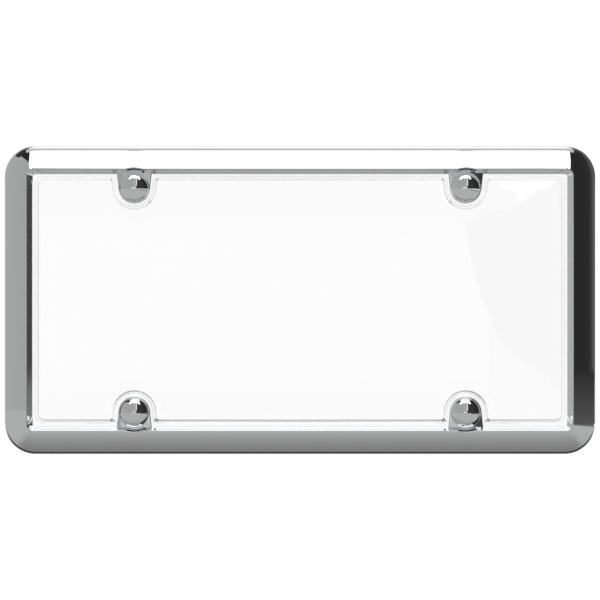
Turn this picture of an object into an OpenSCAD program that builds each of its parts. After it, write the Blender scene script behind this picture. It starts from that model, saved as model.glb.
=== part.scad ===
// Number plate holder: a chromed frame with a ridge, a clear bubble shield behind its lip,
// and four fixings under domed snap caps. Lengths are in millimetres.
// Each piece is drawn lying flat: x is the width, y the height and z points at the viewer.
// The zero plane is the back of the shield, where the number plate beds, and the zero point is
// the centre of the four fixings. The last lines stand the pieces up to face -Y.

/* [Frame] */
// Width of the frame over all
frame_w = 317.5; // [312:0.5:340]
// Height of the frame over all
frame_h = 165.5; // [160:0.5:190]
// Width of a bar, from the outer edge to the window
bar_w = 15.2; // [14:0.1:17]
// Height of the ridge above the bed of the plate
ridge_z = 9.5; // [8:0.1:12]
// Height of the outer side wall above the bed of the plate
side_z = 0.8; // [0:0.1:2.5]
// How far the steep inner wall leans in from the ridge to the window
wall_run = 2.2; // [1.4:0.1:3]
// Rise of the sloping face above a straight slope
face_crown = 0.6; // [0.2:0.05:1.2]
// Thickness of the casting
wall_t = 2; // [1.4:0.1:2.4]
// Rounding of the outer edge
edge_r = 3.2; // [0.5:0.1:3.2]
// Rounding of the ridge
ridge_r = 0.4; // [0.3:0.1:1.4]
// Rounding of the corners of the window
window_r = 1.3; // [0.6:0.1:4]
// Thickness of the stiffening ribs in the hollow back
rib_t = 1.4; // [0.8:0.1:2.5]
// Greatest spacing of the ribs
rib_pitch = 48; // [30:1:80]
// Clearance between the ribs and the flange of the shield
rib_gap = 0.6; // [0.3:0.1:1.5]
// Rounding of the edges inside the hollow back
hollow_r = 0.3; // [0.1:0.05:0.5]

/* [Fixings] */
// Spacing of the fixings across the plate
hole_dx = 177.8; // [170:0.1:190]
// Distance of the fixings from the frame's top and bottom edges, which leaves 120.65 between
fixing_in = 22.425; // [22:0.025:23.2]
// Radius of the round end of a tab
tab_r = 8.5; // [8:0.1:9.5]
// Half width of a tab where it leaves the window's edge
tab_root = 9.3; // [9:0.1:10.5]
// Thickness of a tab
tab_t = 2; // [1.4:0.1:3]
// Bore of the tabs and the shield for the screws
screw_bore = 7.6; // [7.4:0.1:8.4]
// Lean of the wall of the relief pocket round a cap, over its height
pocket_run = 1.6; // [0.4:0.1:2.2]
// Gap between a cap's rim and the foot of its pocket
pocket_gap = 0.45; // [0.2:0.05:1]

/* [Shield] */
// Thickness of the clear sheet
shield_t = 1.5; // [1:0.1:2.5]
// How far the sheet reaches under the frame's lip
shield_lap = 6; // [4:0.1:8]
// Height of the moulded step from the flange to the bubble
step_h = 3; // [2:0.1:4]
// Slope of the moulded step
step_angle = 55; // [45:1:70]
// Gap between the foot of the step and the window's edge or a tab
step_gap = 0.5; // [0.3:0.1:1.2]
// Further rise of the bubble from its corners to its middle
dome_rise = 1.5; // [0.5:0.1:3]
// Rounding of the bubble's corners
bubble_r = 6; // [5:0.5:12]
// Rounding of the flange's corners
flange_r = 5; // [2:0.5:9]

/* [Washers and caps] */
// Radius of a snap washer
washer_r = 7.2; // [7:0.05:7.3]
// Thickness of a snap washer
washer_t = 2; // [1.8:0.1:2.4]
// Thickness of the washer under the screw head
seat_t = 1.4; // [1:0.05:1.6]
// Bore of a snap washer
washer_bore = 7.4; // [7.4:0.1:7.8]
// Wall of a cap
cap_t = 0.7; // [0.6:0.05:0.8]
// Radius of the cap's spherical top
cap_sphere_r = 10.6; // [9.5:0.1:14]
// Radius at which the dome meets the skirt
cap_dome_r = 7.8; // [7.2:0.05:7.85]
// Thickness of the rim flange at the foot of a cap
cap_rim_t = 0.5; // [0.3:0.05:0.7]
// How far the rim flange stands out from the foot of the skirt
cap_rim_w = 0.2; // [0.1:0.05:0.3]
// Clearance between a screw head and the inside of its cap
head_gap = 0.3; // [0.1:0.05:0.6]
// Radial clearance between a washer and its cap
snap_gap = 0.1; // [0.05:0.01:0.2]
// How far the snap bead stands in from the cap's bore
bead_h = 0.25; // [0.1:0.05:0.3]
// Height of the cap's straight bore
grip_h = 1.3; // [1:0.05:1.6]
// Radial clearance between a screw head and the recess of its washer
seat_gap = 0.15; // [0.1:0.05:0.3]

/* [Screws] */
// Diameter of a screw head
head_d = 11.8; // [11:0.1:11.8]
// Height of a screw head
head_h = 4; // [3.4:0.1:4.6]
// Height of the straight side of a screw head
head_side = 1.6; // [1:0.1:2]
// Diameter of the smooth neck under a head
neck_d = 5; // [4.6:0.1:5.2]
// Diameter over the threads
thread_d = 6; // [5.4:0.1:6.3]
// Length of a tapping screw under its head
tapping_l = 23; // [21:0.5:28]
// Length of a machine screw under its head
machine_l = 22.6; // [21.5:0.1:28]
// Length of the tapping screw's point
point_l = 4; // [2:0.5:6]
// Diameter of the tapping screw's point
point_d = 1; // [0.5:0.1:2]
// Length of the chamfer at the end of a machine screw
lead_l = 0.7; // [0.4:0.1:1.2]
// Depth of the cross recess in a head
drive_h = 1; // [0.8:0.1:1.4]
// Span of the cross recess
drive_span = 5.9; // [4:0.1:7]
// Width of the cross recess's slots
drive_w = 1.3; // [1:0.1:1.6]

/* [Behind the plate] */
// Room for the number plate behind the shield
plate_room = 1.5; // [1:0.1:2.5]
// Thickness of the insert's square flange
insert_flange_t = 1.5; // [1:0.1:2.5]
// Width of the insert's square flange
insert_flange_w = 15; // [13:0.1:20]
// Width of the insert's square body
insert_w = 11; // [10:0.1:12]
// Length of the insert's body
insert_l = 11; // [9:0.5:14]
// Rounding of the corners of the insert's flange
insert_r = 6.2; // [0.5:0.1:6.4]
// How far the insert's snap shoulders stand out
snap_w = 0.6; // [0.3:0.1:1]
// How far the insert's body tapers in at its end
insert_taper = 1.6; // [0.8:0.1:2]
// Width of the slots that split the insert's body
split_w = 1.2; // [0.8:0.1:2]
// Thickness of the panel that the inserts and nuts grip
panel_t = 3; // [1:0.1:4]
// Width of a lock nut across its flats
nut_af = 11.1; // [10:0.1:13]
// Height of a nut's hexagon
nut_h = 6; // [5:0.1:7]
// Height of a nut's round collar
collar_h = 2; // [1.6:0.1:3]
// Wall of a nut's collar
collar_wall = 0.9; // [0.5:0.1:1]
// Thickness and reach of the lip that holds the ring in the collar
crimp_t = 0.4; // [0.2:0.05:0.5]
// Outer diameter of the nylon ring in a nut's collar
ring_d = 7.9; // [7.4:0.1:8.4]
// Radial clearance round a thread, and round the nylon ring
thread_gap = 0.05; // [0.02:0.01:0.1]

/* [Hidden] */
$fn = 64;

// Levels along z, from the back to the front
rear_z = -plate_room - insert_flange_t;
lip_z = shield_t;
tab_z = lip_z + tab_t;
seat_z = tab_z + seat_t;
nut_z = rear_z - panel_t;
rib_z = lip_z + rib_gap;

// The frame's plan
corner_r = bar_w + window_r;
window_w = frame_w - 2 * bar_w;
window_h = frame_h - 2 * bar_w;
hole_dy = frame_h - 2 * fixing_in;
tab_reach = fixing_in - bar_w;

// The cap, measured from the face of its tab
cap_h = seat_t + head_h + head_gap + cap_t;
cap_bore_r = washer_r + snap_gap;
cap_skirt_r = cap_bore_r + cap_t;
cap_rim_r = cap_skirt_r + cap_rim_w;
pocket_r = cap_rim_r + pocket_gap;

// How far pieces of one solid overlap where they'd only touch
slack = 0.01;
// How far a cut runs past the surfaces that it opens
past = 1;
// How deep the sides of a tab cut into its round end
side_cut = 0.03;
// How far the bubble's round corners stand above the dome that cuts them off
headroom = 0.1;

// To the nearest hundredth, so that surfaces that meet are given by the same digits
function even(x) = round(100 * x) / 100;

// Points on an arc from one angle to another
function arc(centre, r, from, to, steps) = [
    for (i = [0 : steps]) let (a = from + (to - from) * i / steps) centre + r * [cos(a), sin(a)]
];

// The corner at b on the way from a to c, rounded to radius r, or to as much of it as a share
// of the shorter side allows
function fillet(a, b, c, r, share, steps) =
    let (
        u = (a - b) / norm(a - b),
        v = (c - b) / norm(c - b),
        half = acos(u * v) / 2,
        reach = min(r / tan(half), share * min(norm(a - b), norm(c - b))),
        centre = b + (u + v) / norm(u + v) * reach / cos(half),
        from = b + u * reach - centre,
        to = b + v * reach - centre,
        start = atan2(from.y, from.x),
        turn = atan2(from.x * to.y - from.y * to.x, from * to)
    )
    arc(centre, reach * tan(half), start, start + turn, steps);

// A bar's section path with its outer edge and its ridge rounded, and its face bent to as wide
// an arc as the shares of its sides allow
edge_share = 0.42;
face_share = 0.72;
function rounded(path, edge, crest, steps) = [
    path[0],
    each fillet(path[0], path[1], path[2], edge, edge_share, steps),
    each fillet(path[1], path[2], path[3], frame_w, face_share, steps + 2),
    each fillet(path[2], path[3], path[4], crest, edge_share, steps),
    path[4]
];

// A path moved to its right by t, with its ends kept at their own heights
function right_of(a, b) = let (d = (b - a) / norm(b - a)) [d.y, -d.x];
function level(p, d, z) = p + d * (z - p.y) / d.y;
function inset(path, t) =
    let (last = len(path) - 1, n0 = right_of(path[0], path[1]), n1 = right_of(path[last - 1], path[last]))
    [
        level(path[0] + n0 * t, path[1] - path[0], path[0].y),
        for (i = [1 : last - 1])
            let (a = right_of(path[i - 1], path[i]), b = right_of(path[i], path[i + 1]))
            path[i] + (a + b) * t / (1 + a * b),
        level(path[last] + n1 * t, path[last] - path[last - 1], path[last].y)
    ];

// The stretch of a path that lies above a height
function above(path, z) = [
    for (i = [0 : len(path) - 1])
        let (p = path[i], q = path[min(i + 1, len(path) - 1)])
        each concat(p.y >= z ? [p] : [], (p.y - z) * (q.y - z) < 0 ? [level(p, q - p, z)] : [])
];

// The outside of a bar's section, from the foot of its side wall over the ridge to the window.
// Here x runs in from the outer edge as a negative number and y is the height.
ridge = [wall_run - bar_w, ridge_z];
shoulder = [0, side_z];
window_edge = [-bar_w, lip_z];
slope = (ridge - shoulder) / norm(ridge - shoulder);
face_mid = (ridge + shoulder) / 2 + face_crown * [slope.y, -slope.x];

function section_path(foot) = [[0, foot], shoulder, face_mid, ridge, window_edge];
function flip(path) = [for (i = [len(path) - 1 : -1 : 0]) path[i]];

shell_section = concat(
    rounded(section_path(rear_z), edge_r, ridge_r, 5),
    flip(rounded(inset(section_path(rear_z), -wall_t), hollow_r, hollow_r, 2))
);
solid_section = concat(above(rounded(section_path(rear_z), edge_r, ridge_r, 5), lip_z), [window_edge]);
rib_section = above(inset(section_path(rear_z), -wall_t / 2), rib_z);

// A closed ring of one section, mitred round the four corners
module ring(section) {
    for (i = [0 : 3]) {
        long = i % 2 == 0 ? frame_h : frame_w;
        out = i % 2 == 0 ? frame_w : frame_h;
        rotate([0, 0, 90 * i])
            translate([out / 2, long / 2 - corner_r, 0])
                rotate([90, 0, 0])
                    linear_extrude(long - 2 * corner_r) polygon(section);
    }
    for (sx = [-1, 1], sy = [-1, 1])
        translate([sx * (frame_w / 2 - corner_r), sy * (frame_h / 2 - corner_r), 0])
            rotate([0, 0, sx > 0 ? (sy > 0 ? 0 : 270) : (sy > 0 ? 90 : 180)])
                rotate_extrude(angle = 90, $fn = 96) translate([corner_r, 0]) polygon(section);
}

// Puts a fixing's piece at its place: sx is -1 on the left, sy is -1 at the bottom, and the
// bottom ones are turned so that +y always points at the nearest bar
module at_fixing(sx, sy) {
    translate([sx * hole_dx / 2, sy * hole_dy / 2, 0]) rotate([0, 0, sy > 0 ? 0 : 180]) children();
}

module at_fixings() {
    for (sx = [-1, 1], sy = [-1, 1]) at_fixing(sx, sy) children();
}

// A tab: a round end with sides that spread to the window's edge
tab_lean = acos(tab_r / norm([tab_root, tab_reach])) - atan2(tab_reach, tab_root);
module tab() {
    side = (tab_r - side_cut) * [cos(tab_lean), -sin(tab_lean)];
    far = tab_reach + wall_run;
    translate([0, 0, lip_z]) {
        cylinder(h = tab_t, r = tab_r);
        linear_extrude(tab_t)
            polygon([side, [tab_root, tab_reach], [tab_root, far], [-tab_root, far],
                     [-tab_root, tab_reach], [-side.x, side.y]]);
    }
}

// The relief pocket that lets a cap pass the ridge
module pocket(grow, foot) {
    h = ridge_z - tab_z;
    lean = pocket_run / h;
    top = ridge_z + past;
    translate([0, 0, foot])
        cylinder(h = top - foot, r1 = pocket_r + grow + lean * (foot - tab_z),
                 r2 = pocket_r + grow + lean * (top - tab_z));
}

// The wall that closes a pocket off from the hollow back, under the bar's own surface
module pocket_wall() {
    intersection() {
        pocket(wall_t, lip_z);
        translate([0, tab_reach + bar_w, 0])
            rotate([0, 0, 90])
                rotate([90, 0, 0])
                    linear_extrude(4 * pocket_r, center = true) polygon(solid_section);
    }
}

// Evenly spaced places along a bar, clear of its corners
function places(long) =
    let (span = long - 2 * corner_r, n = ceil(span / rib_pitch))
    [for (i = [0 : n]) -span / 2 + span * i / n];

module ribs() {
    for (i = [0 : 3]) {
        long = i % 2 == 0 ? frame_h : frame_w;
        out = i % 2 == 0 ? frame_w : frame_h;
        rotate([0, 0, 90 * i])
            for (y = places(long))
                translate([out / 2, y + rib_t / 2, 0])
                    rotate([90, 0, 0]) linear_extrude(rib_t) polygon(rib_section);
    }
}

module frame() {
    color("silver")
        difference() {
            union() {
                ring(shell_section);
                ribs();
                at_fixings() pocket_wall();
                at_fixings() tab();
            }
            at_fixings() pocket(0, tab_z);
            at_fixings() translate([0, 0, lip_z - past]) cylinder(h = tab_t + 2 * past, d = screw_bore);
        }
}

// The shield's moulded step leans in by this much for each unit of height
step_lean = 1 / tan(step_angle);
// How far the back of the sheet's bend lies inside the front one
bend_in = even(shield_t * tan(step_angle / 2));
// Height of the bubble's domed top at a distance from the middle
dome_ref = norm([window_w, window_h]) / 2;
function dome_z(x) = lip_z + step_h + dome_rise * (1 - pow(x / dome_ref, 2));

// A box with leaning sides and round corners, from z0 upwards. At the height ref its half sizes
// are a and b and its corner radius is r.
module leaning_box(a, b, r, ref, z0) {
    low = even(step_lean * (ref - z0));
    module slab(half, long) {
        top = dome_z(0) + past;
        run = even(step_lean * (top - z0));
        rotate([90, 0, 0])
            linear_extrude(2 * long, center = true)
                polygon([[-half - low, z0], [half + low, z0], [half + low - run, top],
                         [run - half - low, top]]);
    }
    slab(a, b - r);
    rotate([0, 0, 90]) slab(b, a - r);
    high = even(dome_z(norm([a - r, b - r])) + headroom);
    for (sx = [-1, 1], sy = [-1, 1])
        translate([sx * (a - r), sy * (b - r), z0])
            cylinder(h = high - z0, r1 = r + low, r2 = r + low - even(step_lean * (high - z0)));
}

// The space that the step leaves round a tab: its gap is g at the height ref and widens upwards
module tab_recess(g, ref, z0) {
    top = dome_z(0) + past;
    low = tab_r + g - even(step_lean * (ref - z0));
    run = even(step_lean * (top - z0));
    side = low - side_cut;
    long = tab_reach + bar_w;
    translate([0, 0, z0]) cylinder(h = top - z0, r1 = low, r2 = low + run);
    for (half = [0, 1])
        mirror([half, 0, 0])
            rotate([0, 0, -tab_lean])
                translate([0, long, 0])
                    rotate([90, 0, 0])
                        linear_extrude(long)
                            polygon([[-tab_r / 2, z0], [side, z0], [side + run, top], [-tab_r / 2, top]]);
}

// The gently domed top of the bubble, a surface of revolution about the middle
module dome(drop) {
    steps = 8;
    reach = dome_ref + past;
    rotate_extrude($fn = 128)
        polygon([
            [0, -2 * past],
            [reach, -2 * past],
            for (i = [steps : -1 : 0]) let (x = reach * i / steps) [x, dome_z(x) - drop]
        ]);
}

// The body of the bubble, of which ref is the foot of the step and z0 the underside. It lies in
// from the front surface by bend at the step's foot, and by drop at the top.
module bubble(bend, drop, ref, z0) {
    difference() {
        intersection() {
            leaning_box(window_w / 2 - step_gap - bend, window_h / 2 - step_gap - bend,
                        bubble_r - bend, ref, z0);
            dome(drop);
        }
        at_fixings() tab_recess(step_gap + bend, ref, z0 - past);
    }
}

module flange_plate() {
    a = window_w / 2 + shield_lap;
    b = window_h / 2 + shield_lap;
    translate([flange_r - a, -b, 0]) cube([2 * (a - flange_r), 2 * b, shield_t]);
    translate([-a, flange_r - b, 0]) cube([2 * a, 2 * (b - flange_r), shield_t]);
    for (sx = [-1, 1], sy = [-1, 1])
        translate([sx * (a - flange_r), sy * (b - flange_r), 0]) cylinder(h = shield_t, r = flange_r);
}

module shield() {
    color("lightblue", 0.4)
        difference() {
            union() {
                flange_plate();
                bubble(0, 0, lip_z, lip_z / 2);
            }
            bubble(bend_in, shield_t, 0, -past);
            at_fixings() translate([0, 0, -past]) cylinder(h = shield_t + 2 * past, d = screw_bore);
        }
}

module screw_cap() {
    c = cap_h - cap_sphere_r;
    inner_r = cap_sphere_r - cap_t;
    inner_edge = cap_dome_r - cap_t;
    edge_a = acos(cap_dome_r / cap_sphere_r);
    inner_a = acos(inner_edge / inner_r);
    color("silver")
        translate([0, 0, tab_z])
            rotate_extrude($fn = 96)
                polygon(concat(
                    [[cap_bore_r - bead_h, bead_h], [cap_bore_r, 0], [cap_rim_r, 0],
                     [cap_rim_r, cap_rim_t / 2], [cap_rim_r - cap_rim_t / 2, cap_rim_t],
                     [cap_skirt_r, cap_rim_t]],
                    arc([0, c], cap_sphere_r, edge_a, 90, 14),
                    arc([0, c], inner_r, 90, inner_a, 12),
                    [[cap_bore_r, grip_h], [cap_bore_r, 2 * bead_h]]
                ));
}

module snap_washer() {
    half = washer_t / 2;
    recess_r = head_d / 2 + seat_gap;
    color("ghostwhite")
        translate([0, 0, tab_z])
            difference() {
                rotate_extrude($fn = 64)
                    polygon(concat(
                        [[washer_bore / 2, 0]],
                        arc([washer_r - half, half], half, -90, 90, 10),
                        [[washer_bore / 2, washer_t]]
                    ));
                translate([0, 0, seat_t]) cylinder(h = washer_t, r = recess_r);
            }
}

// A pan head with a cross recess, standing on its seat
module pan_head() {
    rise = head_h - head_side;
    r = (pow(head_d / 2, 2) + rise * rise) / (2 * rise);
    edge_a = acos(head_d / 2 / r);
    translate([0, 0, seat_z])
        difference() {
            rotate_extrude($fn = 64)
                polygon(concat([[0, 0], [head_d / 2, 0]], arc([0, head_h - r], r, edge_a, 90, 10)));
            for (a = [0, 90])
                rotate([0, 0, a])
                    translate([0, 0, head_h])
                        cube([drive_span, drive_w, 2 * drive_h], center = true);
        }
}

// The shank from the head to the plate's room, and the thread behind it
module shank(long, tip_l, tip_d) {
    end = seat_z - long;
    thread_top = -plate_room;
    translate([0, 0, thread_top]) cylinder(h = seat_z - thread_top, d = neck_d);
    translate([0, 0, end + tip_l]) cylinder(h = thread_top - end - tip_l, d = thread_d);
    translate([0, 0, end]) cylinder(h = tip_l, d1 = tip_d, d2 = thread_d);
}

module tapping_screw() {
    color("lightgray") {
        pan_head();
        shank(tapping_l, point_l, point_d);
    }
}

module machine_screw() {
    color("lightgray") {
        pan_head();
        shank(machine_l, lead_l, thread_d - 2 * lead_l);
    }
}

// A square nylon insert: a flange on the panel, and a split body with snap shoulders behind it
module nylon_insert() {
    bore = thread_d + 2 * thread_gap;
    half = insert_w / 2;
    out = half + snap_w;
    tip = half - insert_taper;
    end = rear_z - insert_l;
    side = insert_flange_w / 2 - insert_r;
    profile = [[-half, rear_z + slack], [half, rear_z + slack], [half, nut_z], [out, nut_z],
               [out, nut_z - snap_w], [tip, end], [-tip, end], [-out, nut_z - snap_w],
               [-out, nut_z], [-half, nut_z]];
    color("ghostwhite")
        difference() {
            union() {
                translate([0, 0, rear_z]) {
                    translate([-side, -insert_flange_w / 2, 0])
                        cube([2 * side, insert_flange_w, insert_flange_t]);
                    translate([-insert_flange_w / 2, -side, 0])
                        cube([insert_flange_w, 2 * side, insert_flange_t]);
                    for (sx = [-1, 1], sy = [-1, 1])
                        translate([sx * side, sy * side, 0]) cylinder(h = insert_flange_t, r = insert_r);
                }
                intersection() {
                    rotate([90, 0, 0])
                        linear_extrude(2 * insert_w, center = true) polygon(profile);
                    rotate([0, 0, 90]) rotate([90, 0, 0])
                        linear_extrude(2 * insert_w, center = true) polygon(profile);
                }
            }
            translate([0, 0, end - past]) cylinder(h = insert_l + insert_flange_t + 2 * past, d = bore);
            for (a = [0, 90])
                rotate([0, 0, a])
                    translate([-insert_w, -split_w / 2, end - past])
                        cube([2 * insert_w, split_w, insert_l - split_w]);
        }
}

// A lock nut: a hexagon chamfered at 30 degrees, with a round collar that holds a nylon ring
module lock_nut() {
    corner = nut_af / sqrt(3);
    bore = thread_d + 2 * thread_gap;
    ring_r = ring_d / 2 + thread_gap;
    end = nut_z - nut_h - collar_h;
    rise = (corner - nut_af / 2) * tan(30);
    color("lightgray")
        difference() {
            union() {
                intersection() {
                    translate([0, 0, nut_z - nut_h]) cylinder(h = nut_h, r = corner, $fn = 6);
                    translate([0, 0, nut_z - nut_h])
                        rotate_extrude($fn = 64)
                            polygon([[0, 0], [nut_af / 2, 0], [corner + slack, rise],
                                     [corner + slack, nut_h - rise], [nut_af / 2, nut_h], [0, nut_h]]);
                }
                translate([0, 0, end]) cylinder(h = collar_h + slack, r = ring_r + collar_wall);
            }
            translate([0, 0, end - past]) cylinder(h = nut_h + collar_h + 2 * past, d = bore);
            translate([0, 0, end + crimp_t]) cylinder(h = collar_h - crimp_t, r = ring_r);
            translate([0, 0, end - past]) cylinder(h = crimp_t + 2 * past, r = ring_r - crimp_t);
        }
}

module nut_ring() {
    high = collar_h - crimp_t;
    color("midnightblue")
        translate([0, 0, nut_z - nut_h - high])
            difference() {
                cylinder(h = high, d = ring_d);
                translate([0, 0, -past]) cylinder(h = high + 2 * past, d = thread_d + 2 * thread_gap);
            }
}

// Stands a piece up: its front faces -Y and its height runs along +Z
module upright() {
    rotate([90, 0, 0]) children();
}

upright() frame();
upright() shield();
upright() at_fixing(-1, 1) screw_cap();  // cap_top_left
upright() at_fixing(1, 1) screw_cap();  // cap_top_right
upright() at_fixing(-1, -1) screw_cap();  // cap_bottom_left
upright() at_fixing(1, -1) screw_cap();  // cap_bottom_right
upright() at_fixing(-1, 1) snap_washer();  // washer_top_left
upright() at_fixing(1, 1) snap_washer();  // washer_top_right
upright() at_fixing(-1, -1) snap_washer();  // washer_bottom_left
upright() at_fixing(1, -1) snap_washer();  // washer_bottom_right
upright() at_fixing(-1, 1) tapping_screw();  // tapping_screw_top_left
upright() at_fixing(1, 1) tapping_screw();  // tapping_screw_top_right
upright() at_fixing(-1, 1) nylon_insert();  // nylon_insert_top_left
upright() at_fixing(1, 1) nylon_insert();  // nylon_insert_top_right
upright() at_fixing(-1, -1) machine_screw();  // machine_screw_bottom_left
upright() at_fixing(1, -1) machine_screw();  // machine_screw_bottom_right
upright() at_fixing(-1, -1) lock_nut();  // lock_nut_bottom_left
upright() at_fixing(1, -1) lock_nut();  // lock_nut_bottom_right
upright() at_fixing(-1, -1) nut_ring();  // nut_ring_bottom_left
upright() at_fixing(1, -1) nut_ring();  // nut_ring_bottom_right
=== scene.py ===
"""Dresses a chromed number plate holder, with a clear bubble shield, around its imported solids.

Lengths are in millimetres in the part's flat frame: x runs across, y runs up and h stands out of
the front, towards the viewer. to_row() turns points into the scene's own frame, in metres.
"""
import logging
import math
from dataclasses import dataclass, field
from enum import Enum
from typing import Any, Callable, Sequence

import bmesh
import bpy
import numpy as np
from mathutils import Matrix, Vector
from mathutils.geometry import delaunay_2d_cdt


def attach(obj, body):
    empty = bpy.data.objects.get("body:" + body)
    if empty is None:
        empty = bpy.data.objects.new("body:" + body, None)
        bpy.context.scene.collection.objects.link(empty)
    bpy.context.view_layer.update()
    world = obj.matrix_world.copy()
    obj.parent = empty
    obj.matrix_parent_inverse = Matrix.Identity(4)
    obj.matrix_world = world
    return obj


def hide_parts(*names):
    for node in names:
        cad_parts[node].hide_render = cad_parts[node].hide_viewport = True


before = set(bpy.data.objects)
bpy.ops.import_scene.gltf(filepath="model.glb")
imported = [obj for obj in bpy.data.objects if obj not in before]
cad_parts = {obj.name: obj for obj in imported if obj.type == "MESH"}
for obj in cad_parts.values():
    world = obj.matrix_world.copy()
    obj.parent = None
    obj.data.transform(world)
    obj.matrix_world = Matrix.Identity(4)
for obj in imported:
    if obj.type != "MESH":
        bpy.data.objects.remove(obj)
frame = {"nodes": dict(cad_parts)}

LOG = logging.getLogger("holder")
ROOT = "root"
MM = 0.001
# the share of a card's light that the chrome mirrors
CHROME_SHARE = 0.89
# edges that turn by more than this stay sharp, where a piece has no angle of its own
SHARP_DEG = 35.0
# farther than anything on the holder
FAR = 1e3
# radii below this lie on the axis, and points closer than WELD are one
TINY = 1e-9
WELD = 1e-7

Points = np.ndarray
Colour = tuple[float, float, float]
Corner = tuple[float, float, float, float]
Levels = tuple[tuple[float, float], ...]


def to_row(points: Points) -> Points:
    """Turn flat points in millimetres into the row frame in metres.

    Args:
        points: An array of (x, y, h) rows.

    Returns:
        An array of (x, y, z) rows in metres.
    """
    flat = np.asarray(points, float).reshape(-1, 3)
    return np.column_stack([flat[:, 0], -flat[:, 2], flat[:, 1]]) * MM


def from_display(level: float) -> float:
    """Turn a display level from 0 to 255 into a linear value."""
    share = level / 255
    return share / 12.92 if share <= 0.04045 else ((share + 0.055) / 1.055) ** 2.4


def add_object(name: str, data: bpy.types.ID) -> bpy.types.Object:
    """Make an object from its data and link it to the scene."""
    made = bpy.data.objects.new(name, data)
    bpy.context.scene.collection.objects.link(made)
    return made


# ---------------------------------------------------------------- shader maths


class Signal:
    """A shader socket that takes part in Python arithmetic."""

    def __init__(self, tree: bpy.types.NodeTree, socket: bpy.types.NodeSocket) -> None:
        """Keep a socket and the tree it belongs to."""
        self.tree = tree
        self.socket = socket

    def _math(self, operation: str, first: Any, second: Any) -> "Signal":
        """Add a Math node.

        Args:
            operation: The Math node's operation.
            first: A Signal or a number.
            second: A Signal or a number.

        Returns:
            The node's result.
        """
        node = self.tree.nodes.new("ShaderNodeMath")
        node.operation = operation
        for slot, value in zip(node.inputs, (first, second)):
            if isinstance(value, Signal):
                self.tree.links.new(value.socket, slot)
            else:
                slot.default_value = value
        return Signal(self.tree, node.outputs[0])

    def __add__(self, other: Any) -> "Signal":
        """Sum with a Signal or a number."""
        return self._math("ADD", self, other)

    def __radd__(self, other: Any) -> "Signal":
        """Sum with a number on the left."""
        return self._math("ADD", other, self)

    def __sub__(self, other: Any) -> "Signal":
        """Difference from a Signal or a number."""
        return self._math("SUBTRACT", self, other)

    def __rsub__(self, other: Any) -> "Signal":
        """Difference from a number on the left."""
        return self._math("SUBTRACT", other, self)

    def __mul__(self, other: Any) -> "Signal":
        """Product with a Signal or a number."""
        return self._math("MULTIPLY", self, other)

    def __rmul__(self, other: Any) -> "Signal":
        """Product with a number on the left."""
        return self._math("MULTIPLY", other, self)

    def at_most(self, other: Any) -> "Signal":
        """The smaller of this and another value."""
        return self._math("MINIMUM", self, other)

    def at_least(self, other: Any) -> "Signal":
        """The larger of this and another value."""
        return self._math("MAXIMUM", self, other)


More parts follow.
